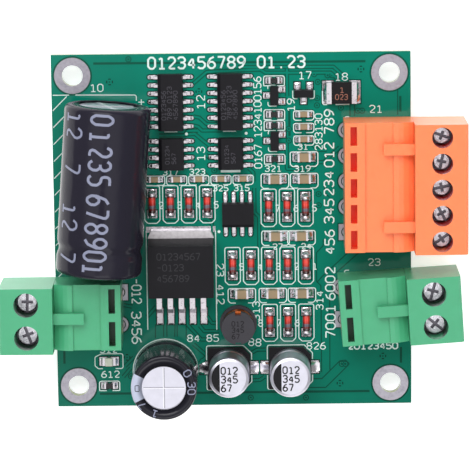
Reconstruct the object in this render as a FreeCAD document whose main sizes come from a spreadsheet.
import FreeCAD, Part
import math
import os
import re
import Sketcher

# Two-channel motor driver board with pluggable screw terminals, in millimetres.
# Origin: centre of the four mounting holes on the underside of the board, +Z up.

doc = FreeCAD.newDocument("MotorDriverModule")
sheet = doc.addObject("Spreadsheet::Sheet", "Sizes")
nodes = []

# Lengths in millimetres, turns in degrees, and counts.
SIZES = {
    # Board and its four mounting holes.
    "board_side": 55.0,
    "board_thick": 1.6,
    "mount_inset": 3.25,
    "mount_bore": 3.2,
    # Pin header housings, measured from the rear face outwards.
    "header_inset": 10.35,
    "signal_header_deep": 10.45,
    "power_header_deep": 10.2,
    "header_tall": 7.5,
    "header_rear": 3.05,
    "header_wall": 0.95,
    "header_floor": 1.9,
    "header_roof_under": 5.6,
    "header_recess": 0.45,
    "header_ridge_from": 7.35,
    "header_nose_drop": 1.0,
    "window_deep": 1.0,
    "window_inset": 0.85,
    "window_down": 2.4,
    "window_rib_signal": 1.11,
    "window_rib_power": 1.28,
    # Square header pins, bent down into the board.
    "pin_side": 1.0,
    "pin_rise": 0.2,
    "pin_end": 9.2,
    "pin_leg": 0.45,
    "pin_below": 1.7,
    "pin_gap": 0.03,
    "pin_hole": 1.5,
    # Plugs that slide into the headers.
    "signal_poles": 5,
    "signal_pitch": 3.96,
    "power_poles": 2,
    "power_pitch": 5.08,
    "plug_gap": 0.05,
    "signal_plug_deep": 8.0,
    "power_plug_deep": 8.15,
    "plug_rise": 2.7,
    "plug_bevel": 0.35,
    "plug_lift": 0.1,
    "plug_floor": 0.45,
    "tongue_gap": 0.15,
    "latch_wide": 1.7,
    "latch_thick": 0.75,
    "latch_reach": 4.65,
    "latch_gap": 0.12,
    # Screw clamps inside the plugs.
    "signal_screw_inset": 4.1,
    "power_screw_inset": 4.0,
    "screw_head_tall": 0.9,
    "screw_shank": 2.0,
    "signal_screw_head": 2.5,
    "signal_screw_bore": 3.15,
    "signal_cage_wide": 2.9,
    "signal_entry_wide": 2.7,
    "power_screw_head": 3.1,
    "power_screw_bore": 3.75,
    "power_cage_wide": 3.9,
    "power_entry_wide": 3.7,
    "cage_deep": 3.6,
    "cage_side": 0.4,
    "cage_plate": 1.0,
    "cage_floor": 0.6,
    "cage_play": 0.35,
    "cage_slack": 0.4,
    "cage_gap": 0.1,
    "bar_thick": 0.8,
    "leaf_thick": 0.35,
    "leaf_gap": 0.05,
    "contact_tall": 1.2,
    "contact_front": 4.3,
    "contact_root": 9.7,
    "contact_gap": 0.05,
    # Where the three terminals stand: centre lines across the board edges.
    "signal_y": 7.5,
    "supply_y": -12.05,
    "motor_inset": 11.12,
    "motor_y": -11.85,
    "motor_turn": 3.5,
    # Main storage capacitor, lying on the board a little askew.
    "main_cap_wide": 13.1,
    "main_cap_long": 25.8,
    "main_cap_x": -19.5,
    "main_cap_clear": 1.67,
    "main_cap_turn": -4.3,
    "main_cap_lip": 4.4,
    "main_cap_bead": 3.8,
    "main_cap_lead_out": 0.85,
    "main_cap_lead_apart": 5.0,
    # Output capacitor, standing on the board.
    "out_cap_wide": 10.0,
    "out_cap_long": 12.5,
    "out_cap_x": -10.6,
    "out_cap_y": -22.0,
    "out_cap_lip": 3.4,
    "out_cap_bead": 2.8,
    "out_cap_lead_apart": 5.0,
    # Both leaded capacitors.
    "sleeve_thick": 0.2,
    "cap_round": 0.6,
    "bead_wide": 2.0,
    "bead_sunk": 0.38,
    "bung_inset": 0.9,
    "bung_thick": 1.8,
    "lead_wire": 0.8,
    "lead_bend": 0.6,
    "lead_below": 1.4,
    "lead_hole": 1.1,
    # Surface mounted can capacitors.
    "can_wide": 6.3,
    "can_tall": 7.7,
    "can_base_side": 6.6,
    "can_base_tall": 1.0,
    "can_base_cut": 1.2,
    "can_skirt": 1.3,
    "can_neck": 0.35,
    "can_round": 0.5,
    "can_tab_wide": 0.8,
    "can_tab_thick": 0.15,
    "can_tab_reach": 3.9,
    "can_first_x": -0.8,
    "can_apart": 9.45,
    "can_y": -21.6,
    # Voltage regulator in a flat power package with five leads.
    "reg_x": -8.0,
    "reg_y": -5.45,
    "reg_wide": 10.0,
    "reg_long": 9.05,
    "reg_tall": 4.4,
    "reg_draft": 0.25,
    "reg_slope": 0.75,
    "reg_tab_thick": 1.27,
    "reg_tab_long": 1.1,
    "reg_tab_wide": 10.2,
    "reg_tab_inner": 8.4,
    "reg_tab_cut": 1.0,
    "reg_tab_gap": 0.02,
    "reg_mould_low": 0.1,
    "reg_pitch": 1.7,
    "reg_leads": 5,
    "reg_lead_wide": 0.8,
    "reg_lead_thick": 0.5,
    "reg_lead_high": 2.5,
    "reg_lead_out": 1.7,
    "reg_lead_foot": 2.1,
    "reg_lead_span": 4.4,
    # Small outline chips.
    "chip_wide": 3.9,
    "chip_top": 1.75,
    "chip_lift": 0.15,
    "chip_draft": 0.18,
    "chip_bevel": 0.35,
    "chip_pitch": 1.27,
    "chip_end": 0.515,
    "chip_lead_wide": 0.42,
    "chip_lead_thick": 0.2,
    "chip_span": 6.0,
    "chip_foot": 0.65,
    "chip_shoulder": 0.3,
    "logic_pins": 7,
    "driver_pins": 4,
    "chip_first_x": -9.25,
    "chip_apart": 9.1,
    "logic_y": 20.1,
    "driver_y": 12.1,
    "buffer_x": 0.85,
    "buffer_y": 2.6,
    # Three-lead transistors.
    "sot_wide": 1.3,
    "sot_long": 2.9,
    "sot_top": 1.1,
    "sot_lift": 0.05,
    "sot_draft": 0.1,
    "sot_pitch": 0.95,
    "sot_span": 2.5,
    "sot_lead_wide": 0.42,
    "sot_lead_thick": 0.13,
    "sot_foot": 0.35,
    "sot_shoulder": 0.12,
    # Resettable fuse.
    "fuse_x": 16.9,
    "fuse_y": 21.3,
    "fuse_long": 4.6,
    "fuse_wide": 3.25,
    "fuse_tall": 1.4,
    "fuse_end": 0.75,
    # Drum inductor.
    "coil_x": 0.7,
    "coil_y": -14.5,
    "coil_base_wide": 5.7,
    "coil_top_wide": 5.1,
    "coil_tall": 4.5,
    "coil_flange": 1.0,
    "coil_post": 2.4,
    "coil_wound": 4.7,
    "coil_notch": 0.9,
    "coil_foot": 0.15,
    "coil_foot_wide": 2.2,
    "coil_foot_long": 1.6,
    "coil_foot_inset": 0.25,
    # Glass diodes with metal end caps.
    "diode_wide": 1.4,
    "diode_glass": 1.2,
    "diode_long": 3.5,
    "diode_end": 0.5,
    "diode_pitch": 2.83,
    "diode_right": 11.25,
    "diode_row_top": 3.6,
    "diode_row_middle": -5.45,
    "diode_row_low": -14.45,
    "diode_left": -12.35,
    "diode_left_row": 4.3,
    # Ceramic capacitors and resistors: two columns and three rows.
    "column_left": 6.6,
    "column_right": 11.1,
    "row_high": 8.0,
    "row_middle": -0.9,
    "row_low": -9.9,
    "row_third_x": 1.3,
    "row_right_shift": 0.5,
    "large_long": 2.0,
    "large_wide": 1.25,
    "large_tall": 1.1,
    "large_end": 0.3,
    "large_top_y": 11.35,
    "small_long": 1.6,
    "small_wide": 0.8,
    "small_tall": 0.8,
    "small_end": 0.25,
    "small_first_x": -11.9,
    "small_apart": 3.4,
    "small_row": 8.15,
    "small_column_top": 18.0,
    "small_column_apart": 1.93,
    "resistor_tall": 0.45,
    "resistor_first_y": 23.2,
    "resistor_second_y": 18.0,
    "resistor_third_y": 16.3,
    "resistor_fourth_y": 11.1,
    "end_lap": 0.03,
    "transistor_high_y": 20.9,
    "transistor_low_y": 13.9,
    "reference_y": 21.2,
    # Indicator lamp and its resistor.
    "lamp_x": -19.45,
    "lamp_y": -20.4,
    "lamp_resistor_y": -24.25,
    "lamp_long": 2.0,
    "lamp_wide": 1.25,
    "lamp_base_tall": 0.3,
    "lamp_end": 0.35,
    "lamp_lens_tall": 0.5,
    "lamp_lens_slope": 0.12,
    # Power transistors under the board.
    "power_x": 9.0,
    "power_front_y": -7.5,
    "power_back_y": 8.5,
    "power_wide": 6.6,
    "power_long": 6.1,
    "power_tall": 2.3,
    "power_draft": 0.2,
    "power_tab_thick": 0.5,
    "power_tab_long": 1.0,
    "power_tab_wide": 5.3,
    "power_lead_pitch": 4.57,
    "power_lead_wide": 0.76,
    "power_lead_high": 1.0,
    "power_lead_out": 0.7,
    "power_lead_foot": 1.3,
    "power_lead_span": 2.9,
    # Solder round the leads under the board.
    "solder_pin_wide": 2.4,
    "solder_lead_wide": 2.0,
    "solder_tall": 1.1,
    "solder_tip": 0.12,
}

for line, (name, number) in enumerate(SIZES.items(), start=1):
    sheet.set("A%d" % line, name)
    sheet.set("B%d" % line, str(number))
    sheet.setAlias("B%d" % line, name)
doc.recompute()

# Short names for the properties that place a piece.
PLACES = {
    "x": "Placement.Base.x",
    "y": "Placement.Base.y",
    "z": "Placement.Base.z",
    "turn": "Placement.Rotation.Angle",
    "off_x": "AttachmentOffset.Base.x",
    "off_y": "AttachmentOffset.Base.y",
    "off_z": "AttachmentOffset.Base.z",
    "off_turn": "AttachmentOffset.Rotation.Angle",
}
UPRIGHT = FreeCAD.Vector(0, 0, 1)
SHANK_SIDES = 8
HEAD_SIDES = 20
WIRE_SIDES = 8
DIODE_SIDES = 12
QUARTER_TURN = 90
HALF_TURN = 180
FULL_TURN = 360


def cells(text):
    """An expression in which each named size is read from the sheet."""
    def lookup(word):
        return "Sizes." + word.group() if word.group() in SIZES else word.group()
    return re.sub(r"[a-z][a-z0-9_]*", lookup, text)


def drive(thing, **sizes):
    """Binds properties of a piece to expressions."""
    for name, text in sizes.items():
        thing.setExpression(PLACES.get(name, name), cells(text))
    return thing


def size(name):
    """The present value of a cell."""
    return float(sheet.get(name))


def keep(thing, label):
    """Gives a finished sub-part its name and keeps it for the export."""
    thing.Label = label
    nodes.append(thing)
    return thing


def new_body(name):
    return doc.addObject("PartDesign::Body", name)


def origin_part(body, role):
    """A plane or an axis of a body's own origin."""
    return next(item for item in body.Origin.OriginFeatures if item.Role == role)


def sketch_on(body, plane, name, **offsets):
    """A sketch on one of the body's own planes, moved by bound offsets."""
    sketch = body.newObject("Sketcher::SketchObject", name)
    sketch.AttachmentSupport = [(origin_part(body, plane), "")]
    sketch.MapMode = "FlatFace"
    if "off_turn" in offsets:
        start = FreeCAD.Rotation(UPRIGHT, 1)
        sketch.AttachmentOffset = FreeCAD.Placement(FreeCAD.Vector(), start)
    drive(sketch, **offsets)
    return sketch


def pin_down(sketch, item, point, across, up):
    """Fixes one point of a sketch at a bound distance from its origin."""
    for kind, text in (("DistanceX", across), ("DistanceY", up)):
        rule = Sketcher.Constraint(kind, -1, 1, item, point, 1.0)
        index = sketch.addConstraint(rule)
        sketch.setExpression("Constraints[%d]" % index, cells(text))


def outline(sketch, corners):
    """A closed outline of straight edges through bound corners."""
    count = len(corners)
    first = sketch.GeometryCount
    step = 2 * math.pi / count
    ring = [FreeCAD.Vector(math.cos(i * step), math.sin(i * step), 0) for i in range(count)]
    for i in range(count):
        sketch.addGeometry(Part.LineSegment(ring[i], ring[(i + 1) % count]), False)
    for i in range(count):
        after = first + (i + 1) % count
        sketch.addConstraint(Sketcher.Constraint("Coincident", first + i, 2, after, 1))
    for i, (across, up) in enumerate(corners):
        pin_down(sketch, first + i, 1, across, up)


def rectangle(sketch, left, low, right, high):
    outline(sketch, [(left, low), (right, low), (right, high), (left, high)])


def circle(sketch, across, up, wide):
    """A bound circle, given by its centre and diameter."""
    item = sketch.addGeometry(Part.Circle(FreeCAD.Vector(), UPRIGHT, 1.0), False)
    pin_down(sketch, item, 3, across, up)
    index = sketch.addConstraint(Sketcher.Constraint("Diameter", item, 2.0))
    sketch.setExpression("Constraints[%d]" % index, cells(wide))


def few_sided(sketch, across, up, wide, sides):
    """A regular outline for a small round piece that repeats, one corner towards +x."""
    corners = []
    for i in range(sides):
        turn = FULL_TURN * i / sides
        corners.append(("%s + (%s)/2*cos(%g deg)" % (across, wide, turn),
                        "%s + (%s)/2*sin(%g deg)" % (up, wide, turn)))
    outline(sketch, corners)


def extrude(body, kind, sketch, length, both_ways=False):
    """A pad or a pocket of a sketch; both_ways centres it on the sketch."""
    feature = body.newObject("PartDesign::" + kind, sketch.Name + kind)
    feature.Profile = sketch
    if both_ways:
        feature.SideType = "Symmetric"
    return drive(feature, Length=length)


def revolve(body, sketch):
    """A full turn of a sketch about its own upright axis."""
    feature = body.newObject("PartDesign::Revolution", sketch.Name + "Turned")
    feature.Profile = sketch
    feature.ReferenceAxis = (sketch, ["V_Axis"])
    feature.Angle = FULL_TURN
    return feature


def row_of(body, features, direction, count, pitch):
    """Repeats features along a line at a bound pitch."""
    pattern = body.newObject("PartDesign::LinearPattern", features[0].Name + "Row")
    pattern.Originals = features
    pattern.Direction = direction
    drive(pattern, Length="(%s)*(%s - 1)" % (pitch, count), Occurrences=count)
    body.Tip = pattern
    return pattern


def along(body, role):
    return (origin_part(body, role), [""])


def link(master, x, y, z, turn=0, flipped=False):
    """Another copy of a piece, standing on the board or hanging under it."""
    copy = doc.addObject("App::Link", master.Name + "Copy")
    copy.LinkedObject = master
    bound = isinstance(turn, str)
    rotation = FreeCAD.Rotation(UPRIGHT, 1 if bound else turn)
    if flipped:
        rotation = rotation * FreeCAD.Rotation(FreeCAD.Vector(1, 0, 0), HALF_TURN)
    copy.Placement = FreeCAD.Placement(FreeCAD.Vector(), rotation)
    drive(copy, x=x, y=y, z=z)
    return drive(copy, turn=turn) if bound else copy


def group(label, pieces):
    """Like pieces kept together as separate solids."""
    compound = doc.addObject("Part::Compound", label)
    compound.Links = pieces
    return keep(compound, label)


def fitted(label, master, spots, z="board_thick"):
    """A group of copies of one piece, one at each spot (x, y, turn)."""
    return group(label, [link(master, x, y, z, turn) for x, y, turn in spots])


# Terminals. Each is drawn in its own frame: x runs outwards from the rear face of the
# header, y along the row of poles, and z upwards from the top of the board.
HEADER_X = "board_side/2 - header_inset"
MOTOR_X = "board_side/2 - motor_inset"
TERMINALS = {
    "signal": {"series": "signal", "x": HEADER_X, "y": "signal_y", "turn": 0},
    "supply": {"series": "power", "x": "-(" + HEADER_X + ")", "y": "supply_y", "turn": HALF_TURN},
    "motor": {"series": "power", "x": MOTOR_X, "y": "motor_y", "turn": "motor_turn"},
}
PLUG_TOP = "(header_tall + plug_rise)"
PIN_HEIGHT = "(header_tall/2 + pin_rise)"
BAR_LOW = PIN_HEIGHT + " - bar_thick/2"
BAR_TOP = PIN_HEIGHT + " + bar_thick/2"
UNDER_HEAD = BAR_TOP + " + cage_slack + cage_plate + cage_play + cage_gap"
CAGE_LOW = "(plug_lift + plug_floor)"
CAGE_HIGH = "(" + UNDER_HEAD + " - cage_gap - cage_play)"
CONTACT_WIDE = "pin_side + 2*leaf_gap + 2*leaf_thick"
ROOF_STEPS = (1, 0.75, 0.5, 0.25)


def series_size(series, text):
    """Fills in which series of terminal a size belongs to."""
    return text.replace("@", series)


def plug_face(series):
    """Where the plug's block starts, from the header's rear face."""
    return series_size(series, "(@_header_deep + plug_gap)")


def plug_outer(series):
    """Where the plug's block ends."""
    return plug_face(series) + series_size(series, " + @_plug_deep")


def screw_x(series):
    """Where the clamp screws stand."""
    return plug_face(series) + series_size(series, " + @_screw_inset")


def first_pole(series):
    """Sketch offset of the first pole; the row then runs the other way."""
    return series_size(series, "@_pitch*(@_poles - 1)/2")


def pole_row(body, features, series):
    pitch = series_size(series, "@_pitch")
    count = series_size(series, "@_poles")
    return row_of(body, features, along(body, "Y_Axis"), count, pitch)


def stand(body, place):
    """Puts a terminal's piece where its header stands."""
    turn = place["turn"]
    if isinstance(turn, str):
        body.Placement = FreeCAD.Placement(FreeCAD.Vector(), FreeCAD.Rotation(UPRIGHT, 1))
        drive(body, turn=turn)
    else:
        body.Placement = FreeCAD.Placement(FreeCAD.Vector(), FreeCAD.Rotation(UPRIGHT, turn))
    return drive(body, x=place["x"], y=place["y"], z="board_thick")


def header_housing(name, series):
    """Moulded header: rear block with core windows, roof with a latch ridge, open front.

    From the ridge the roof falls to the front in four facets of a shallow arch.
    """
    body = new_body(name + "Header")
    width = series_size(series, "@_pitch*@_poles")
    deep = series_size(series, "@_header_deep")
    section = sketch_on(body, "XZ_Plane", name + "HeaderSection")
    outline(section, [
        ("0", "0"),
        (deep, "0"),
    ] + [
        ("header_ridge_from + (%s - header_ridge_from)*%g" % (deep, share),
         "header_tall - header_nose_drop*%g" % share ** 2)
        for share in ROOF_STEPS
    ] + [
        ("header_ridge_from", "header_tall"),
        ("header_ridge_from", "header_tall - header_recess"),
        ("header_rear", "header_tall - header_recess"),
        ("header_rear", "header_tall"),
        ("0", "header_tall"),
    ])
    extrude(body, "Pad", section, width, both_ways=True)
    cavity = sketch_on(body, "XZ_Plane", name + "HeaderCavity")
    rectangle(cavity, "header_rear", "header_floor", deep + " + 1", "header_roof_under")
    extrude(body, "Pocket", cavity, width + " - 2*header_wall", both_ways=True)
    window = sketch_on(body, "XZ_Plane", name + "HeaderWindow", off_z=first_pole(series))
    rectangle(window, "window_inset", "header_tall - window_down",
              "window_inset + window_deep", "header_tall + 1")
    window_wide = series_size(series, "@_pitch - window_rib_@")
    window_cut = extrude(body, "Pocket", window, window_wide, both_ways=True)
    channel = sketch_on(body, "XZ_Plane", name + "HeaderChannel", off_z=first_pole(series))
    outline(channel, [
        ("-1", "-1"),
        ("pin_leg + pin_side/2 + pin_gap", "-1"),
        ("pin_leg + pin_side/2 + pin_gap", PIN_HEIGHT + " - pin_side/2 - pin_gap"),
        ("header_rear + 1", PIN_HEIGHT + " - pin_side/2 - pin_gap"),
        ("header_rear + 1", PIN_HEIGHT + " + pin_side/2 + pin_gap"),
        ("-1", PIN_HEIGHT + " + pin_side/2 + pin_gap"),
    ])
    channel_cut = extrude(body, "Pocket", channel, "pin_side + 2*pin_gap", both_ways=True)
    pole_row(body, [window_cut, channel_cut], series)
    return body


def header_pins(name, series):
    """Square wire pins, bent once, through the rear block and down into the board."""
    body = new_body(name + "Pins")
    shape = sketch_on(body, "XZ_Plane", name + "PinShape", off_z=first_pole(series))
    outline(shape, [
        ("pin_leg - pin_side/2", "-board_thick - pin_below"),
        ("pin_leg + pin_side/2", "-board_thick - pin_below"),
        ("pin_leg + pin_side/2", PIN_HEIGHT + " - pin_side/2"),
        ("pin_end", PIN_HEIGHT + " - pin_side/2"),
        ("pin_end", PIN_HEIGHT + " + pin_side/2"),
        ("pin_leg - pin_side/2", PIN_HEIGHT + " + pin_side/2"),
    ])
    pin = extrude(body, "Pad", shape, "pin_side", both_ways=True)
    pole_row(body, [pin], series)
    return body


def plug_housing(name, series, latch_places):
    """Moulded plug: screw block, tongue that enters the header, and latch fingers."""
    body = new_body(name + "Plug")
    width = series_size(series, "@_pitch*@_poles")
    face = plug_face(series)
    outer = plug_outer(series)
    screw = screw_x(series)
    block = sketch_on(body, "XZ_Plane", name + "PlugBlock")
    outline(block, [
        (face, "plug_lift"),
        (outer, "plug_lift"),
        (outer, PLUG_TOP + " - plug_bevel"),
        (outer + " - plug_bevel", PLUG_TOP),
        (face, PLUG_TOP),
    ])
    extrude(body, "Pad", block, width, both_ways=True)
    tongue = sketch_on(body, "XZ_Plane", name + "PlugTongue")
    rectangle(tongue, "header_rear + 2*tongue_gap", "header_floor + tongue_gap",
              face + " + 1", "header_roof_under - tongue_gap")
    tongue_wide = width + " - 2*header_wall - 2*tongue_gap"
    extrude(body, "Pad", tongue, tongue_wide, both_ways=True)
    for number, place in enumerate(latch_places):
        finger = sketch_on(body, "XZ_Plane", name + "PlugLatch%d" % number, off_z=place)
        rectangle(finger, face + " - latch_reach", "header_tall + latch_gap", face + " + 0.5",
                  "header_tall + latch_gap + latch_thick")
        extrude(body, "Pad", finger, "latch_wide", both_ways=True)
    chamber = sketch_on(body, "XZ_Plane", name + "PlugChamber", off_z=first_pole(series))
    rectangle(chamber, screw + " - cage_deep/2 - cage_gap", CAGE_LOW + " - cage_gap",
              screw + " + cage_deep/2 + cage_gap", UNDER_HEAD + " - cage_gap")
    chamber_wide = series_size(series, "@_cage_wide + 2*cage_gap")
    chamber_cut = extrude(body, "Pocket", chamber, chamber_wide, both_ways=True)
    entry = sketch_on(body, "XZ_Plane", name + "PlugEntry", off_z=first_pole(series))
    rectangle(entry, screw, CAGE_LOW + " + cage_floor", outer + " + 1", BAR_LOW)
    entry_wide = series_size(series, "@_entry_wide")
    entry_cut = extrude(body, "Pocket", entry, entry_wide, both_ways=True)
    socket = sketch_on(body, "XZ_Plane", name + "PlugSocket", off_z=first_pole(series))
    rectangle(socket, "header_rear", PIN_HEIGHT + " - contact_tall/2 - contact_gap",
              screw, PIN_HEIGHT + " + contact_tall/2 + contact_gap")
    socket_cut = extrude(body, "Pocket", socket, CONTACT_WIDE + " + 2*contact_gap", both_ways=True)
    bore = sketch_on(body, "XY_Plane", name + "PlugBore", off_z=PLUG_TOP)
    circle(bore, screw, "-(" + first_pole(series) + ")", series_size(series, "@_screw_bore"))
    bore_cut = extrude(body, "Pocket", bore, PLUG_TOP + " - (" + UNDER_HEAD + ") + 2*cage_gap")
    pole_row(body, [chamber_cut, entry_cut, socket_cut, bore_cut], series)
    return body


def plug_contacts(name, series):
    """Brass contacts: a strip for the clamp, and two leaves that grip the header pin."""
    body = new_body(name + "Contacts")
    strip = sketch_on(body, "XZ_Plane", name + "ContactStrip", off_z=first_pole(series))
    rectangle(strip, "contact_root", BAR_LOW, screw_x(series) + " + cage_deep/2", BAR_TOP)
    strip_pad = extrude(body, "Pad", strip, CONTACT_WIDE, both_ways=True)
    fork = sketch_on(body, "XY_Plane", name + "ContactFork", off_z=PIN_HEIGHT + " - contact_tall/2",
                     off_y="-(" + first_pole(series) + ")")
    half = "(" + CONTACT_WIDE + ")/2"
    inner = "(pin_side/2 + leaf_gap)"
    outline(fork, [
        ("contact_front", "-" + half),
        ("contact_root + leaf_thick", "-" + half),
        ("contact_root + leaf_thick", half),
        ("contact_front", half),
        ("contact_front", inner),
        ("contact_root", inner),
        ("contact_root", "-" + inner),
        ("contact_front", "-" + inner),
    ])
    fork_pad = extrude(body, "Pad", fork, "contact_tall")
    pole_row(body, [strip_pad, fork_pad], series)
    return body


def plug_clamps(name, series):
    """Steel cages: a square tube round strip and wire, with a threaded top plate."""
    body = new_body(name + "Clamps")
    tube = sketch_on(body, "YZ_Plane", name + "ClampTube", off_z=screw_x(series) + " - cage_deep/2",
                     off_x="-(" + first_pole(series) + ")")
    half = series_size(series, "@_cage_wide/2")
    rectangle(tube, "-" + half, CAGE_LOW, half, CAGE_HIGH)
    rectangle(tube, "-(" + half + " - cage_side)", CAGE_LOW + " + cage_floor",
              half + " - cage_side", CAGE_HIGH + " - cage_plate")
    tube_pad = extrude(body, "Pad", tube, "cage_deep")
    thread = sketch_on(body, "XY_Plane", name + "ClampThread", off_z=CAGE_HIGH)
    few_sided(thread, screw_x(series), "-(" + first_pole(series) + ")", "screw_shank", SHANK_SIDES)
    thread_cut = extrude(body, "Pocket", thread, "cage_plate + cage_gap")
    pole_row(body, [tube_pad, thread_cut], series)
    return body


def plug_screws(name, series):
    """Clamp screws with a flat head, their tips on the contact strips."""
    body = new_body(name + "Screws")
    shank = sketch_on(body, "XY_Plane", name + "ScrewShank", off_z=BAR_TOP)
    few_sided(shank, screw_x(series), "-(" + first_pole(series) + ")", "screw_shank", SHANK_SIDES)
    shank_pad = extrude(body, "Pad", shank, UNDER_HEAD + " - (" + BAR_TOP + ")")
    head = sketch_on(body, "XY_Plane", name + "ScrewHead", off_z=UNDER_HEAD)
    few_sided(head, screw_x(series), "-(" + first_pole(series) + ")",
              series_size(series, "@_screw_head"), HEAD_SIDES)
    head_pad = extrude(body, "Pad", head, "screw_head_tall")
    pole_row(body, [shank_pad, head_pad], series)
    return body


def solder_cone(body, pin_shape, across, wide, tip, **offsets):
    """A cone of solder under the board, open in the middle where the pin passes."""
    foot = sketch_on(body, "XY_Plane", body.Name + "Foot", off_z="-board_thick", **offsets)
    few_sided(foot, across, "0", wide, WIRE_SIDES)
    end = sketch_on(body, "XY_Plane", body.Name + "Tip", off_z="-board_thick - solder_tall",
                    **offsets)
    few_sided(end, across, "0", tip, WIRE_SIDES)
    cone = body.newObject("PartDesign::AdditiveLoft", body.Name + "Cone")
    cone.Profile = foot
    cone.Sections = [end]
    cone.Ruled = True
    hole = sketch_on(body, "XY_Plane", body.Name + "Hole", off_z="-board_thick", **offsets)
    pin_shape(hole)
    return [cone, extrude(body, "Pocket", hole, "4*solder_tall", both_ways=True)]


def solder_row(name, series):
    """Cones of solder round a row of header pins."""
    body = new_body(name + "Solder")

    def square(hole):
        rectangle(hole, "pin_leg - pin_side/2", "-pin_side/2", "pin_leg + pin_side/2", "pin_side/2")

    features = solder_cone(body, square, "pin_leg", "solder_pin_wide", "pin_side*1.4143 + solder_tip",
                           off_y="-(" + first_pole(series) + ")")
    pole_row(body, features, series)
    return body


# The five-pole plug has a latch between its first two and its last two poles.
LATCHES = {
    "signal": ["signal_pitch*1.5", "-signal_pitch*1.5"],
    "supply": ["0"],
    "motor": ["0"],
}
solder = []
for terminal, place in TERMINALS.items():
    series = place["series"]
    keep(stand(header_housing(terminal, series), place), terminal + "_header_housing")
    keep(stand(header_pins(terminal, series), place), terminal + "_header_pins")
    plug = plug_housing(terminal, series, LATCHES[terminal])
    keep(stand(plug, place), terminal + "_plug_housing")
    keep(stand(plug_contacts(terminal, series), place), terminal + "_plug_contacts")
    keep(stand(plug_clamps(terminal, series), place), terminal + "_plug_clamps")
    keep(stand(plug_screws(terminal, series), place), terminal + "_plug_screws")
    solder.append(stand(solder_row(terminal, series), place))


# Leaded electrolytic capacitors: a shrunk sleeve over an aluminium can with a rolled
# bead, closed at the lead end by a rubber bung. Drawn with the axis along y, leads at -y.
def turned_can(name, shrink, long, wide, bead, inner="0"):
    """The turned outline that can and sleeve share, smaller all round by shrink."""
    body = new_body(name)
    radius = "(%s/2 - %s)" % (wide, shrink)
    low = "(-%s/2 + %s)" % (long, shrink)
    high = "(%s/2 - %s)" % (long, shrink)
    centre = "(-%s/2 + %s)" % (long, bead)
    section = sketch_on(body, "XY_Plane", name + "Section")
    outline(section, [
        (inner, low),
        (radius + " - cap_round", low),
        (radius, low + " + cap_round"),
        (radius, centre + " - bead_wide/2"),
        (radius + " - bead_sunk", centre),
        (radius, centre + " + bead_wide/2"),
        (radius, high + " - cap_round"),
        (radius + " - cap_round", high),
        (inner, high),
    ])
    revolve(body, section)
    return body


def leaded_capacitor(name, prefix):
    """Sleeve, can and bung of one capacitor; returns the three pieces."""
    long = prefix + "_long"
    wide = prefix + "_wide"
    bead = prefix + "_bead"
    can = turned_can(name + "Can", "sleeve_thick", long, wide, bead)
    seat = sketch_on(can, "XY_Plane", name + "BungSeat")
    bung_radius = "%s/2 - sleeve_thick - bung_inset" % wide
    low = "-%s/2 + sleeve_thick" % long
    rectangle(seat, "0", low + " - 1", bung_radius, low + " + bung_thick")
    groove = can.newObject("PartDesign::Groove", name + "BungGroove")
    groove.Profile = seat
    groove.ReferenceAxis = (seat, ["V_Axis"])
    groove.Angle = FULL_TURN
    can.Tip = groove
    bung = new_body(name + "Bung")
    plug = sketch_on(bung, "XY_Plane", name + "BungSection")
    rectangle(plug, "0", low, bung_radius, low + " + bung_thick")
    revolve(bung, plug)
    skin = turned_can(name + "Skin", "0", long, wide, bead, inner=prefix + "_lip")
    core = turned_can(name + "Core", "sleeve_thick", long, wide, bead)
    sleeve = doc.addObject("Part::Cut", name + "Sleeve")
    sleeve.Base = skin
    sleeve.Tool = core
    return sleeve, can, bung


# The lying capacitor starts beside the supply terminal.
MAIN_CAP_Y = "(supply_y + power_pitch*power_poles/2 + main_cap_clear + main_cap_long/2)"


def lay(thing):
    """Lays the main capacitor on the board at its own slight angle."""
    thing.Placement = FreeCAD.Placement(FreeCAD.Vector(), FreeCAD.Rotation(UPRIGHT, 1))
    return drive(thing, x="main_cap_x", y=MAIN_CAP_Y, z="board_thick + main_cap_wide/2",
                 turn="main_cap_turn")


def raise_up(thing):
    """Stands the output capacitor on the board, leads down."""
    upward = FreeCAD.Rotation(FreeCAD.Vector(1, 0, 0), QUARTER_TURN)
    thing.Placement = FreeCAD.Placement(FreeCAD.Vector(), upward)
    return drive(thing, x="out_cap_x", y="out_cap_y", z="board_thick + out_cap_long/2")


def bent_lead(body, number, across):
    """A lead that leaves the bung level, bends and goes down through the board."""
    face = "(-main_cap_long/2 + sleeve_thick)"
    leg = "(-main_cap_long/2 - main_cap_lead_out)"
    wire = sketch_on(body, "XZ_Plane", "MainLeadWire%d" % number, off_z="-" + face)
    few_sided(wire, across, "0", "lead_wire", WIRE_SIDES)
    way = sketch_on(body, "YZ_Plane", "MainLeadWay%d" % number, off_z=across)
    stops = [
        (face, "0"),
        (leg + " + lead_bend", "0"),
        (leg, "-lead_bend"),
        (leg, "-(main_cap_wide/2 + board_thick + lead_below)"),
    ]
    for i in range(len(stops) - 1):
        way.addGeometry(Part.LineSegment(FreeCAD.Vector(-i, -i * i, 0),
                                         FreeCAD.Vector(-i - 1, -(i + 1) ** 2, 0)), False)
    for i, (along_y, up) in enumerate(stops[:-1]):
        pin_down(way, i, 1, along_y, up)
        if i:
            way.addConstraint(Sketcher.Constraint("Coincident", i - 1, 2, i, 1))
    pin_down(way, len(stops) - 2, 2, *stops[-1])
    lead = body.newObject("PartDesign::AdditivePipe", "MainLead%d" % number)
    lead.Profile = wire
    lead.Spine = way
    lead.Transition = "Right corner"
    return lead


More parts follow.
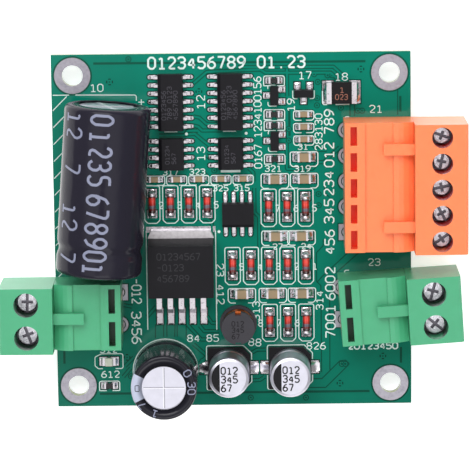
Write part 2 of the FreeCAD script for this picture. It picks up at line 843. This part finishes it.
sleeve, can, bung = leaded_capacitor("MainCap", "main_cap")
keep(lay(sleeve), "main_capacitor_sleeve")
keep(lay(can), "main_capacitor_can")
keep(lay(bung), "main_capacitor_bung")
main_leads = new_body("MainCapLeads")
bent_lead(main_leads, 1, "-main_cap_lead_apart/2")
bent_lead(main_leads, 2, "main_cap_lead_apart/2")
keep(lay(main_leads), "main_capacitor_leads")

sleeve, can, bung = leaded_capacitor("OutCap", "out_cap")
keep(raise_up(sleeve), "output_capacitor_sleeve")
keep(raise_up(can), "output_capacitor_can")
keep(raise_up(bung), "output_capacitor_bung")
OUT_LEADS = [("out_cap_x - out_cap_lead_apart/2", "out_cap_y", 0),
             ("out_cap_x + out_cap_lead_apart/2", "out_cap_y", 0)]
out_wire = new_body("OutWire")
out_section = sketch_on(out_wire, "XY_Plane", "OutWireSection", off_z="-lead_below")
few_sided(out_section, "0", "0", "lead_wire", WIRE_SIDES)
extrude(out_wire, "Pad", out_section, "board_thick + lead_below + sleeve_thick")
fitted("output_capacitor_leads", out_wire, OUT_LEADS, "0")

# The lying capacitor's leads reach the board at these places.
LEAN = "main_cap_turn*1 deg"
LEAD_BACK = "(main_cap_long/2 + main_cap_lead_out)"


def main_lead_spot(side):
    across = "%s*main_cap_lead_apart/2" % side
    x = "main_cap_x + (%s)*cos(%s) + %s*sin(%s)" % (across, LEAN, LEAD_BACK, LEAN)
    y = "%s + (%s)*sin(%s) - %s*cos(%s)" % (MAIN_CAP_Y, across, LEAN, LEAD_BACK, LEAN)
    return x, y, "main_cap_turn"


LEAD_SPOTS = [main_lead_spot("-1"), main_lead_spot("1")] + OUT_LEADS


# Board: glass laminate with bores for the mounting screws, header pins and leads.
board = new_body("Board")
slab = sketch_on(board, "XY_Plane", "BoardSlab")
rectangle(slab, "-board_side/2", "-board_side/2", "board_side/2", "board_side/2")
extrude(board, "Pad", slab, "board_thick")
bores = sketch_on(board, "XY_Plane", "BoardBores")
for across in ("-(board_side/2 - mount_inset)", "(board_side/2 - mount_inset)"):
    for up in ("-(board_side/2 - mount_inset)", "(board_side/2 - mount_inset)"):
        circle(bores, across, up, "mount_bore")
for x, y, turn in LEAD_SPOTS:
    few_sided(bores, x, y, "lead_hole", WIRE_SIDES)
extrude(board, "Pocket", bores, "4*board_thick", both_ways=True)
for terminal, place in TERMINALS.items():
    turn = place["turn"]
    turn_text = turn if isinstance(turn, str) else str(turn)
    pin_bore = sketch_on(board, "XY_Plane", terminal + "BoardBore", off_x=place["x"],
                         off_y=place["y"], off_turn=turn_text)
    few_sided(pin_bore, "pin_leg", "-(" + first_pole(place["series"]) + ")", "pin_hole",
              WIRE_SIDES)
    pin_cut = extrude(board, "Pocket", pin_bore, "4*board_thick", both_ways=True)
    row_of(board, [pin_cut], (pin_bore, ["V_Axis"]), series_size(place["series"], "@_poles"),
           series_size(place["series"], "@_pitch"))
keep(board, "circuit_board")


# Surface mounted can capacitors: bare aluminium cans on chamfered plastic bases.
can_shell = new_body("CanShell")
can_section = sketch_on(can_shell, "XZ_Plane", "CanSection")
outline(can_section, [
    ("0", "can_base_tall"),
    ("can_wide/2", "can_base_tall"),
    ("can_wide/2", "can_base_tall + can_skirt"),
    ("can_wide/2 - can_neck", "can_base_tall + can_skirt + can_neck"),
    ("can_wide/2", "can_base_tall + can_skirt + 2*can_neck"),
    ("can_wide/2", "can_tall - can_round"),
    ("can_wide/2 - can_round*0.3", "can_tall - can_round*0.3"),
    ("can_wide/2 - can_round", "can_tall"),
    ("0", "can_tall"),
])
revolve(can_shell, can_section)
can_base = new_body("CanBase")
base_plan = sketch_on(can_base, "XY_Plane", "CanBasePlan", off_z="can_tab_thick")
outline(base_plan, [
    ("-can_base_side/2", "-can_base_side/2"),
    ("can_base_side/2 - can_base_cut", "-can_base_side/2"),
    ("can_base_side/2", "-can_base_side/2 + can_base_cut"),
    ("can_base_side/2", "can_base_side/2 - can_base_cut"),
    ("can_base_side/2 - can_base_cut", "can_base_side/2"),
    ("-can_base_side/2", "can_base_side/2"),
])
extrude(can_base, "Pad", base_plan, "can_base_tall - can_tab_thick")
can_tabs = new_body("CanTabs")
tab_plan = sketch_on(can_tabs, "XY_Plane", "CanTabPlan")
rectangle(tab_plan, "-can_tab_reach", "-can_tab_wide/2", "-can_tab_wide", "can_tab_wide/2")
rectangle(tab_plan, "can_tab_wide", "-can_tab_wide/2", "can_tab_reach", "can_tab_wide/2")
extrude(can_tabs, "Pad", tab_plan, "can_tab_thick")
CAN_SPOTS = [("can_first_x", "can_y", 0), ("can_first_x + can_apart", "can_y", 0)]
fitted("can_capacitor_cans", can_shell, CAN_SPOTS)
fitted("can_capacitor_bases", can_base, CAN_SPOTS)
fitted("can_capacitor_terminals", can_tabs, CAN_SPOTS)


def gull_wing(side, from_x, shoulder, foot, span, high, thick):
    """Corners of a bent lead that leaves a moulded body and stands on its foot."""
    points = [
        (from_x, "(%s)" % high),
        ("(%s) + %s" % (from_x, shoulder), "(%s)" % high),
        ("%s - %s" % (span, foot), "0"),
        (span, "0"),
        (span, thick),
        ("%s - %s + %s" % (span, foot, thick), thick),
        ("(%s) + %s + %s" % (from_x, shoulder, thick), "(%s) + %s" % (high, thick)),
        (from_x, "(%s) + %s" % (high, thick)),
    ]
    return [("%s(%s)" % (side, across), up) for across, up in points]


# Voltage regulator: mould on a copper tab, with five formed leads.
regulator = new_body("Regulator")
reg_section = sketch_on(regulator, "YZ_Plane", "RegulatorSection")
outline(reg_section, [
    ("-reg_long/2", "reg_mould_low"),
    ("reg_long/2 - reg_draft", "reg_mould_low"),
    ("reg_long/2", "reg_tab_thick"),
    ("reg_long/2 - reg_slope", "reg_tall"),
    ("-reg_long/2 + reg_draft", "reg_tall"),
    ("-reg_long/2", "reg_lead_high + reg_lead_thick"),
])
extrude(regulator, "Pad", reg_section, "reg_wide", both_ways=True)
tab_seat = sketch_on(regulator, "YZ_Plane", "RegulatorTabSeat")
rectangle(tab_seat, "-reg_long/2 + reg_tab_long", "-1", "reg_long/2 + 1", "reg_tab_thick")
extrude(regulator, "Pocket", tab_seat, "reg_tab_inner", both_ways=True)
reg_tab = new_body("RegulatorTab")
tab_shape = sketch_on(reg_tab, "XY_Plane", "RegulatorTabPlan")
outline(tab_shape, [
    ("-reg_tab_inner/2", "-reg_long/2 + reg_tab_long"),
    ("reg_tab_inner/2", "-reg_long/2 + reg_tab_long"),
    ("reg_tab_inner/2", "reg_long/2 + reg_tab_gap"),
    ("reg_tab_wide/2", "reg_long/2 + reg_tab_gap"),
    ("reg_tab_wide/2 - reg_tab_cut/2", "reg_long/2 + reg_tab_long"),
    ("-reg_tab_wide/2 + reg_tab_cut/2", "reg_long/2 + reg_tab_long"),
    ("-reg_tab_wide/2", "reg_long/2 + reg_tab_gap"),
    ("-reg_tab_inner/2", "reg_long/2 + reg_tab_gap"),
])
extrude(reg_tab, "Pad", tab_shape, "reg_tab_thick")
reg_leads = new_body("RegulatorLeads")
lead_section = sketch_on(reg_leads, "YZ_Plane", "RegulatorLeadSection",
                         off_z="-reg_pitch*(reg_leads - 1)/2")
outline(lead_section, gull_wing("-", "reg_long/2", "reg_lead_out - reg_lead_thick",
                                "reg_lead_foot", "(reg_long/2 + reg_lead_span)",
                                "reg_lead_high", "reg_lead_thick"))
lead_pad = extrude(reg_leads, "Pad", lead_section, "reg_lead_wide", both_ways=True)
row_of(reg_leads, [lead_pad], along(reg_leads, "X_Axis"), "reg_leads", "reg_pitch")
REG_SPOTS = [("reg_x", "reg_y", 0)]
fitted("regulator_body", regulator, REG_SPOTS)
fitted("regulator_tab", reg_tab, REG_SPOTS)
fitted("regulator_leads", reg_leads, REG_SPOTS)


def chip_body(name, pins):
    """Moulded chip body with drafted sides and a bevel along the first pin's edge."""
    body = new_body(name)
    split = "(chip_lift + chip_top)/2"
    section = sketch_on(body, "XZ_Plane", name + "Section")
    outline(section, [
        ("-chip_wide/2 + chip_draft", "chip_lift"),
        ("chip_wide/2 - chip_draft", "chip_lift"),
        ("chip_wide/2", split),
        ("chip_wide/2 - chip_draft", "chip_top"),
        ("-chip_wide/2 + chip_draft + chip_bevel", "chip_top"),
        ("-chip_wide/2 + chip_draft/2", "chip_top - chip_bevel"),
        ("-chip_wide/2", split),
    ])
    extrude(body, "Pad", section, "chip_pitch*(%s - 1) + 2*chip_end" % pins, both_ways=True)
    return body


def chip_leads(name, pins):
    """Formed leads along both long sides of a chip."""
    body = new_body(name)
    section = sketch_on(body, "XZ_Plane", name + "Section", off_z="chip_pitch*(%s - 1)/2" % pins)
    split = "(chip_lift + chip_top)/2 - chip_lead_thick/2"
    for side in ("-", ""):
        outline(section, gull_wing(side, "chip_wide/2", "chip_shoulder", "chip_foot",
                                   "chip_span/2", split, "chip_lead_thick"))
    pad = extrude(body, "Pad", section, "chip_lead_wide", both_ways=True)
    row_of(body, [pad], along(body, "Y_Axis"), pins, "chip_pitch")
    return body


LOGIC_SPOTS = [("chip_first_x", "logic_y", 0), ("chip_first_x + chip_apart", "logic_y", 0)]
DRIVER_SPOTS = [
    ("chip_first_x", "driver_y", 0),
    ("chip_first_x + chip_apart", "driver_y", 0),
    ("buffer_x", "buffer_y", QUARTER_TURN),
]
fitted("logic_chip_bodies", chip_body("LogicBody", "logic_pins"), LOGIC_SPOTS)
fitted("logic_chip_leads", chip_leads("LogicLeads", "logic_pins"), LOGIC_SPOTS)
fitted("driver_chip_bodies", chip_body("DriverBody", "driver_pins"), DRIVER_SPOTS)
fitted("driver_chip_leads", chip_leads("DriverLeads", "driver_pins"), DRIVER_SPOTS)


# Three-lead transistors: one lead on one side and two on the other.
sot = new_body("SmallTransistor")
sot_section = sketch_on(sot, "XZ_Plane", "SmallTransistorSection")
SOT_SPLIT = "(sot_lift + sot_top)/2"
outline(sot_section, [
    ("-sot_wide/2 + sot_draft", "sot_lift"),
    ("sot_wide/2 - sot_draft", "sot_lift"),
    ("sot_wide/2", SOT_SPLIT),
    ("sot_wide/2 - sot_draft", "sot_top"),
    ("-sot_wide/2 + sot_draft", "sot_top"),
    ("-sot_wide/2", SOT_SPLIT),
])
extrude(sot, "Pad", sot_section, "sot_long", both_ways=True)
sot_leads = new_body("SmallTransistorLeads")
SOT_LEAD = ("sot_wide/2", "sot_shoulder", "sot_foot", "sot_span/2",
            SOT_SPLIT + " - sot_lead_thick/2", "sot_lead_thick")
single = sketch_on(sot_leads, "XZ_Plane", "SmallTransistorSingle")
outline(single, gull_wing("-", *SOT_LEAD))
extrude(sot_leads, "Pad", single, "sot_lead_wide", both_ways=True)
double = sketch_on(sot_leads, "XZ_Plane", "SmallTransistorPair", off_z="sot_pitch")
outline(double, gull_wing("", *SOT_LEAD))
pair = extrude(sot_leads, "Pad", double, "sot_lead_wide", both_ways=True)
row_of(sot_leads, [pair], along(sot_leads, "Y_Axis"), "2", "2*sot_pitch")
SOT_SPOTS = [
    ("column_left", "transistor_high_y", 0),
    ("column_left", "transistor_low_y", 0),
    ("column_right", "reference_y", QUARTER_TURN),
]
fitted("small_transistor_bodies", sot, SOT_SPOTS)
fitted("small_transistor_leads", sot_leads, SOT_SPOTS)


def chip_part(name, long, wide, tall, end):
    """A plain chip part: body between two metal ends that stand a little proud."""
    body = new_body(name + "Body")
    middle = sketch_on(body, "XY_Plane", name + "Middle", off_z="end_lap")
    half = "(%s/2 - %s)" % (long, end)
    rectangle(middle, "-" + half, "-%s/2" % wide, half, "%s/2" % wide)
    extrude(body, "Pad", middle, tall)
    ends = new_body(name + "Ends")
    caps = sketch_on(ends, "XY_Plane", name + "Caps")
    side = "(%s/2 + end_lap)" % wide
    rectangle(caps, "-%s/2" % long, "-" + side, "-" + half, side)
    rectangle(caps, half, "-" + side, "%s/2" % long, side)
    extrude(ends, "Pad", caps, tall + " + 2*end_lap")
    return body, ends


fuse, fuse_ends = chip_part("Fuse", "fuse_long", "fuse_wide", "fuse_tall", "fuse_end")
FUSE_SPOTS = [("fuse_x", "fuse_y", 0)]
fitted("fuse_body", fuse, FUSE_SPOTS)
fitted("fuse_terminals", fuse_ends, FUSE_SPOTS)

large, large_ends = chip_part("Large", "large_long", "large_wide", "large_tall", "large_end")
LARGE_SPOTS = [
    ("column_left", "row_high", 0),
    ("column_right", "row_high", 0),
    ("column_left", "row_middle", 0),
    ("column_right - row_right_shift", "row_middle", 0),
    ("column_left - row_right_shift", "row_low", 0),
    ("column_right - row_right_shift", "row_low", 0),
    ("row_third_x", "row_low", 0),
    ("column_right", "large_top_y", 0),
]
fitted("large_ceramic_bodies", large, LARGE_SPOTS)
fitted("large_ceramic_ends", large_ends, LARGE_SPOTS)

small, small_ends = chip_part("Small", "small_long", "small_wide", "small_tall", "small_end")
SMALL_SPOTS = [("small_first_x + %d*small_apart" % i, "small_row", 0) for i in range(5)]
SMALL_SPOTS += [("column_right", "small_column_top - %d*small_column_apart" % i, 0)
                for i in range(3)]
fitted("small_ceramic_bodies", small, SMALL_SPOTS)
fitted("small_ceramic_ends", small_ends, SMALL_SPOTS)

resistor, resistor_ends = chip_part("Resistor", "small_long", "small_wide", "resistor_tall",
                                    "small_end")
RESISTOR_SPOTS = [
    ("column_left", "resistor_first_y", 0),
    ("column_left", "resistor_second_y", 0),
    ("column_left", "resistor_third_y", 0),
    ("column_left", "resistor_fourth_y", 0),
    ("lamp_x", "lamp_resistor_y", 0),
]
fitted("resistor_bodies", resistor, RESISTOR_SPOTS)
fitted("resistor_ends", resistor_ends, RESISTOR_SPOTS)

# Indicator lamp: plated base with a clear moulded lens.
lamp_base, lamp_ends = chip_part("Lamp", "lamp_long", "lamp_wide", "lamp_base_tall", "lamp_end")
lens = new_body("LampLens")
lens_section = sketch_on(lens, "XZ_Plane", "LampLensSection")
LENS_LOW = "lamp_base_tall + end_lap"
outline(lens_section, [
    ("-lamp_long/2 + lamp_end", LENS_LOW),
    ("lamp_long/2 - lamp_end", LENS_LOW),
    ("lamp_long/2 - lamp_end - lamp_lens_slope", LENS_LOW + " + lamp_lens_tall"),
    ("-lamp_long/2 + lamp_end + lamp_lens_slope", LENS_LOW + " + lamp_lens_tall"),
])
extrude(lens, "Pad", lens_section, "lamp_wide", both_ways=True)
group("indicator_base", [link(lamp_base, "lamp_x", "lamp_y", "board_thick"),
                         link(lamp_ends, "lamp_x", "lamp_y", "board_thick")])
fitted("indicator_lens", lens, [("lamp_x", "lamp_y", 0)])


# Drum inductor: turned ferrite spool, copper winding and two plated feet.
spool = new_body("Spool")
spool_section = sketch_on(spool, "XZ_Plane", "SpoolSection")
outline(spool_section, [
    ("0", "coil_foot"),
    ("coil_base_wide/2", "coil_foot"),
    ("coil_base_wide/2", "coil_foot + coil_flange"),
    ("coil_post/2", "coil_foot + coil_flange"),
    ("coil_post/2", "coil_tall - coil_flange"),
    ("coil_top_wide/2", "coil_tall - coil_flange"),
    ("coil_top_wide/2", "coil_tall"),
    ("0", "coil_tall"),
])
revolve(spool, spool_section)
notch = sketch_on(spool, "XY_Plane", "SpoolNotch", off_z="coil_tall")
rectangle(notch, "-coil_notch/2", "coil_top_wide/2 - coil_notch*0.6", "coil_notch/2",
          "coil_top_wide/2 + 1")
rectangle(notch, "-coil_notch/2", "-coil_top_wide/2 - 1", "coil_notch/2",
          "-coil_top_wide/2 + coil_notch*0.4")
extrude(spool, "Pocket", notch, "coil_flange + 0.1")
winding = new_body("Winding")
winding_section = sketch_on(winding, "XZ_Plane", "WindingSection")
rectangle(winding_section, "coil_post/2", "coil_foot + coil_flange", "coil_wound/2",
          "coil_tall - coil_flange")
revolve(winding, winding_section)
coil_feet = new_body("CoilFeet")
feet_plan = sketch_on(coil_feet, "XY_Plane", "CoilFeetPlan")
for side in ("", "-"):
    near = "%s(coil_base_wide/2 - coil_foot_inset - coil_foot_long)" % side
    far = "%s(coil_base_wide/2 - coil_foot_inset)" % side
    left, right = (near, far) if side == "" else (far, near)
    rectangle(feet_plan, left, "-coil_foot_wide/2", right, "coil_foot_wide/2")
extrude(coil_feet, "Pad", feet_plan, "coil_foot")
COIL_SPOTS = [("coil_x", "coil_y", 0)]
fitted("inductor_core", spool, COIL_SPOTS)
fitted("inductor_winding", winding, COIL_SPOTS)
fitted("inductor_feet", coil_feet, COIL_SPOTS)


# Glass diodes: a glass tube between two drawn metal caps, lying along y.
glass = new_body("DiodeGlass")
glass_section = sketch_on(glass, "XZ_Plane", "DiodeGlassSection")
few_sided(glass_section, "0", "0", "diode_glass", DIODE_SIDES)
extrude(glass, "Pad", glass_section, "diode_long - 2*diode_end", both_ways=True)
caps = new_body("DiodeCaps")
for side in ("", "-"):
    cap_section = sketch_on(caps, "XZ_Plane", "DiodeCapSection",
                            off_z=side + "(diode_long/2 - diode_end/2)")
    few_sided(cap_section, "0", "0", "diode_wide", DIODE_SIDES)
    extrude(caps, "Pad", cap_section, "diode_end", both_ways=True)
DIODE_SPOTS = [("diode_left + %d*diode_pitch" % i, "diode_left_row", 0) for i in range(4)]
DIODE_SPOTS += [("diode_right - %d*diode_pitch" % i, "diode_row_top", 0) for i in range(3)]
DIODE_SPOTS += [("diode_right - %d*diode_pitch" % i, "diode_row_middle", 0) for i in range(5)]
DIODE_SPOTS += [("diode_right - %d*diode_pitch" % i, "diode_row_low", 0) for i in range(3)]
DIODE_HIGH = "board_thick + diode_wide/2"
fitted("diode_glasses", glass, DIODE_SPOTS, DIODE_HIGH)
fitted("diode_end_caps", caps, DIODE_SPOTS, DIODE_HIGH)


# Power transistors, upside down under the board: mould on a tab with two formed leads.
power = new_body("PowerTransistor")
power_section = sketch_on(power, "YZ_Plane", "PowerSection")
outline(power_section, [
    ("-power_long/2 + power_draft", "power_tab_thick"),
    ("power_long/2 - power_draft", "power_tab_thick"),
    ("power_long/2", "power_lead_high + 0.25"),
    ("power_long/2 - power_draft", "power_tall"),
    ("-power_long/2 + power_draft", "power_tall"),
    ("-power_long/2", "power_lead_high + 0.25"),
])
extrude(power, "Pad", power_section, "power_wide", both_ways=True)
frame = new_body("PowerFrame")
frame_plan = sketch_on(frame, "XY_Plane", "PowerTabPlan")
rectangle(frame_plan, "-power_tab_wide/2", "-power_long/2 + power_tab_long", "power_tab_wide/2",
          "power_long/2 + power_tab_long")
extrude(frame, "Pad", frame_plan, "power_tab_thick")
frame_lead = sketch_on(frame, "YZ_Plane", "PowerLeadSection", off_z="-power_lead_pitch/2")
outline(frame_lead, gull_wing("-", "power_long/2", "power_lead_out", "power_lead_foot",
                              "(power_long/2 + power_lead_span)", "power_lead_high",
                              "power_tab_thick"))
frame_pad = extrude(frame, "Pad", frame_lead, "power_lead_wide", both_ways=True)
row_of(frame, [frame_pad], along(frame, "X_Axis"), "2", "power_lead_pitch")
POWER_SPOTS = [
    ("-power_x", "power_front_y", 0),
    ("power_x", "power_front_y", 0),
    ("-power_x", "power_back_y", 0),
    ("power_x", "power_back_y", 0),
]
for label, master in (("power_transistor_bodies", power), ("power_transistor_frames", frame)):
    group(label, [link(master, x, y, "0", turn, flipped=True) for x, y, turn in POWER_SPOTS])

# Solder round the capacitor leads, with that of the header pins.
lead_cone = new_body("LeadCone")


def wire_hole(hole):
    few_sided(hole, "0", "0", "lead_wire", WIRE_SIDES)


solder_cone(lead_cone, wire_hole, "0", "solder_lead_wide", "lead_wire + 2*solder_tip")
solder += [link(lead_cone, x, y, "board_thick", turn) for x, y, turn in LEAD_SPOTS]
group("solder_joints", solder)

doc.recompute()
for thing in doc.Objects:
    if {"Invalid", "Error"} & set(thing.State):
        raise RuntimeError("%s did not build" % thing.Name)
for thing in nodes:
    if thing.Shape.isNull() or not thing.Shape.isValid():
        raise RuntimeError("%s has no valid shape" % thing.Label)

os.makedirs("parts", exist_ok=True)
for thing in nodes:
    thing.Shape.exportStep(os.path.join("parts", thing.Label + ".step"))
